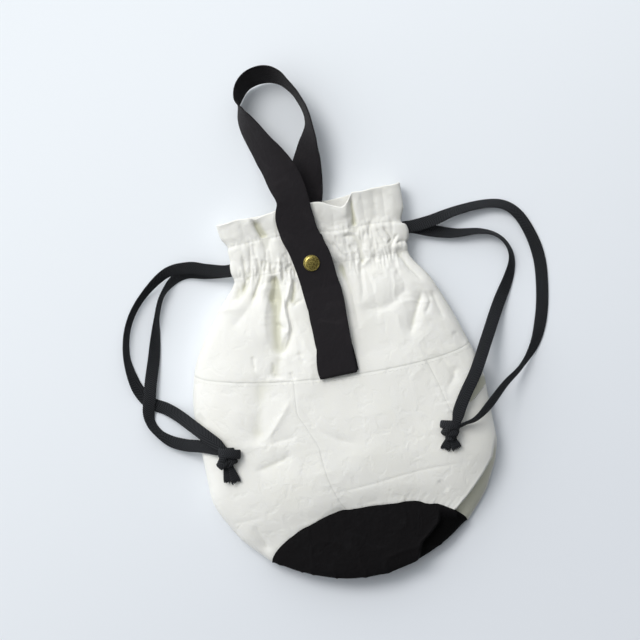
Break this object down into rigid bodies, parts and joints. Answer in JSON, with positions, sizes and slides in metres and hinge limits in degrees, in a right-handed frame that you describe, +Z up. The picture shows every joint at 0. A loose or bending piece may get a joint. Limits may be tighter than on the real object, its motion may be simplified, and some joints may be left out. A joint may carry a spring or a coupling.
{
  "type": "drawstring pouch",
  "caption": "Soft white cloth pouch lying on its back, with a gathered neck, black round base, flat black drawstrings and a black wrist strap with a brass snap.",
  "frame": {"origin": "on the surface that the pouch lies on, under the middle of its body", "axes": "+Z up out of the surface, through the pouch's front; +Y along the pouch towards its mouth; +X to the right when the front is seen with the mouth up"},
  "size_m": [0.3662, 0.4402, 0.0425],
  "materials": {
    "white_cloth": "matte, crinkled plain weave",
    "black_cloth": "matte twill",
    "black_braid": "flat ribbed braid",
    "brass": "aged, polished"
  },
  "bodies": {
    "root": {"upper_front_panel": "white_cloth", "upper_back_panel": "white_cloth", "lower_front_panel": "white_cloth", "lower_right_panel": "white_cloth", "lower_back_panel": "white_cloth", "lower_left_panel": "white_cloth", "base_panel": "black_cloth", "handle_strap": "black_cloth", "snap_cap": "brass", "snap_socket": "brass", "snap_stud": "brass", "snap_post": "brass", "drawstring_left_in_channel": "black_braid", "drawstring_left_outer_strand": "black_braid", "drawstring_left_inner_strand": "black_braid", "drawstring_left_knot": "black_braid", "drawstring_left_end_1": "black_braid", "drawstring_left_end_2": "black_braid", "drawstring_right_in_channel": "black_braid", "drawstring_right_outer_strand": "black_braid", "drawstring_right_inner_strand": "black_braid", "drawstring_right_knot": "black_braid", "drawstring_right_end_1": "black_braid", "drawstring_right_end_2": "black_braid"}
  },
  "joints": []
}
